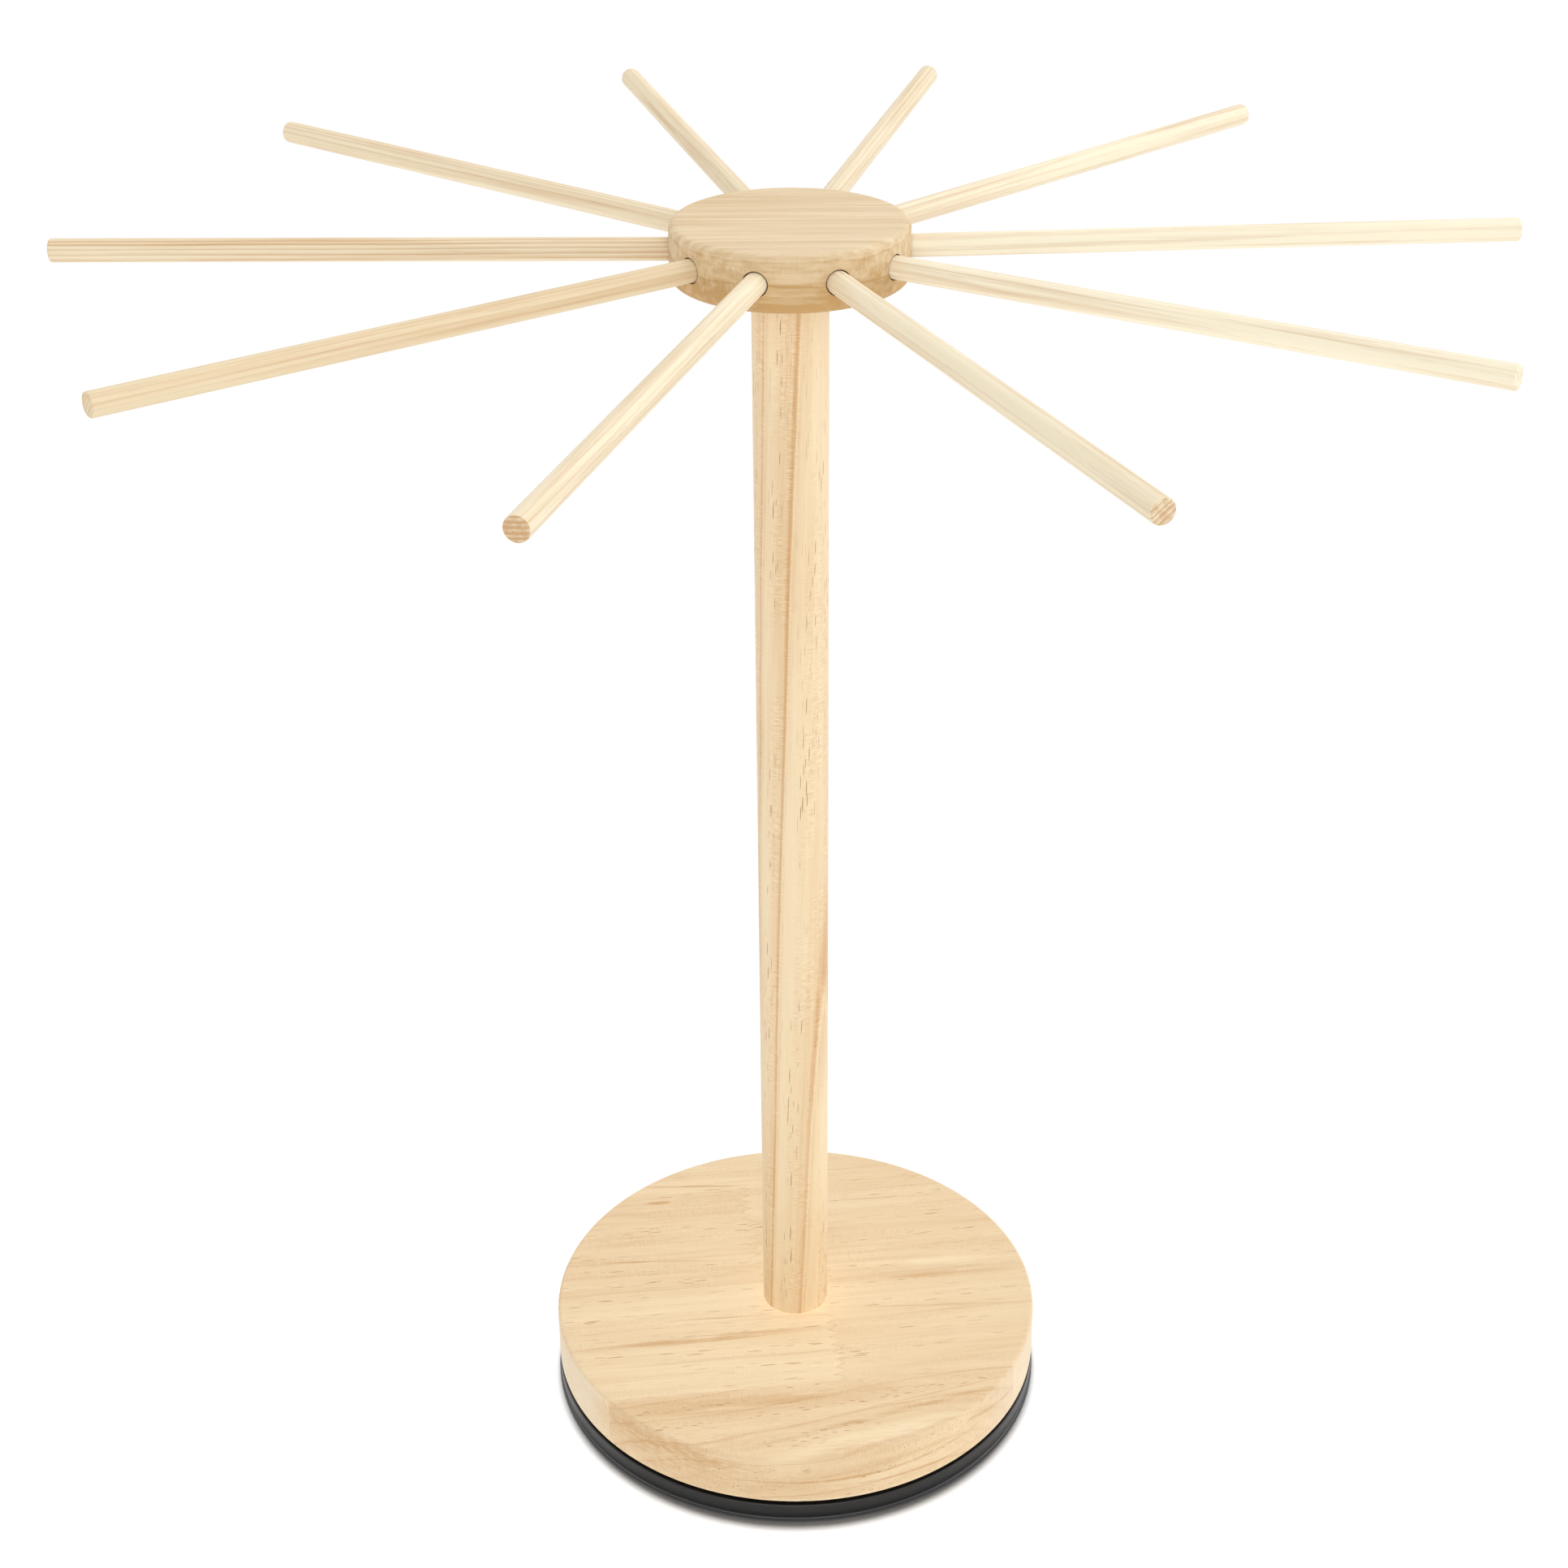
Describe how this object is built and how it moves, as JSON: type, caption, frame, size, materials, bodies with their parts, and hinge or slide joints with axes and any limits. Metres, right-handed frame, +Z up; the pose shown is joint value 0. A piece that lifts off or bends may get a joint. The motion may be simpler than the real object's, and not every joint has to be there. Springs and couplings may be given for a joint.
{
  "type": "pasta drying rack",
  "caption": "Free-standing wooden rack with a round base on a ball-bearing turntable, a round post and a hub whose rods reach out like spokes and pull out for storage.",
  "frame": {"origin": "centre of the circle that the foot ring stands on, at the height of the surface", "axes": "+Z up along the post; -Y towards the front, between the rods at -16.3 and +22.7 degrees from it"},
  "size_m": [0.4407, 0.4277, 0.432],
  "materials": {
    "base_wood": "sanded, unvarnished",
    "post_wood": "sanded, unvarnished",
    "hub_wood": "sanded, unvarnished",
    "rod_wood": "sanded, unvarnished",
    "turntable_plastic": "fine satin, as moulded",
    "cage_plastic": "as moulded",
    "foot_rubber": "matte",
    "bearing_steel": "polished",
    "screw_steel": "zinc plated"
  },
  "bodies": {
    "stand": {"foot_ring": "foot_rubber", "turntable_dish": "turntable_plastic", "centre_rivet": "screw_steel"},
    "ball_set": {"bearing_balls": "bearing_steel", "ball_cage": "cage_plastic"},
    "rack": {"turntable_plate": "turntable_plastic", "plate_screws": "screw_steel", "base_disc": "base_wood", "post_washer": "screw_steel", "post_screw": "screw_steel", "post": "post_wood", "hub": "hub_wood"},
    "rod_01": {"rod_01": "rod_wood"},
    "rod_02": {"rod_02": "rod_wood"},
    "rod_03": {"rod_03": "rod_wood"},
    "rod_04": {"rod_04": "rod_wood"},
    "rod_05": {"rod_05": "rod_wood"},
    "rod_06": {"rod_06": "rod_wood"},
    "rod_07": {"rod_07": "rod_wood"},
    "rod_08": {"rod_08": "rod_wood"},
    "rod_09": {"rod_09": "rod_wood"},
    "rod_10": {"rod_10": "rod_wood"}
  },
  "joints": [
    {"name": "rack_turn", "type": "hinge", "parent": "stand", "child": "rack", "pos_m": [0, 0, 0.0067], "axis": [0, 0, 1], "continuous": true},
    {"name": "balls_roll", "type": "hinge", "parent": "stand", "child": "ball_set", "pos_m": [0, 0, 0.0045], "axis": [0, 0, 1], "continuous": true},
    {"name": "rod_01_pull", "type": "slide", "parent": "rack", "child": "rod_01", "axis": [-0.808, -0.5892, 0], "range_m": [0, 0.022]},
    {"name": "rod_02_pull", "type": "slide", "parent": "rack", "child": "rod_02", "axis": [-0.2807, -0.9598, 0], "range_m": [0, 0.022]},
    {"name": "rod_03_pull", "type": "slide", "parent": "rack", "child": "rod_03", "axis": [0.3859, -0.9225, 0], "range_m": [0, 0.022]},
    {"name": "rod_04_pull", "type": "slide", "parent": "rack", "child": "rod_04", "axis": [0.8517, -0.524, 0], "range_m": [0, 0.022]},
    {"name": "rod_05_pull", "type": "slide", "parent": "rack", "child": "rod_05", "axis": [0.9976, 0.0698, 0], "range_m": [0, 0.022]},
    {"name": "rod_06_pull", "type": "slide", "parent": "rack", "child": "rod_06", "axis": [0.7145, 0.6997, 0], "range_m": [0, 0.022]},
    {"name": "rod_07_pull", "type": "slide", "parent": "rack", "child": "rod_07", "axis": [0.2317, 0.9728, 0], "range_m": [0, 0.022]},
    {"name": "rod_08_pull", "type": "slide", "parent": "rack", "child": "rod_08", "axis": [-0.2656, 0.9641, 0], "range_m": [0, 0.022]},
    {"name": "rod_09_pull", "type": "slide", "parent": "rack", "child": "rod_09", "axis": [-0.7793, 0.6266, 0], "range_m": [0, 0.022]},
    {"name": "rod_10_pull", "type": "slide", "parent": "rack", "child": "rod_10", "axis": [-0.9999, 0.0105, 0], "range_m": [0, 0.022]}
  ],
  "couplings": [
    {"joint": "balls_roll", "follows": "rack_turn", "ratio": 0.5}
  ]
}
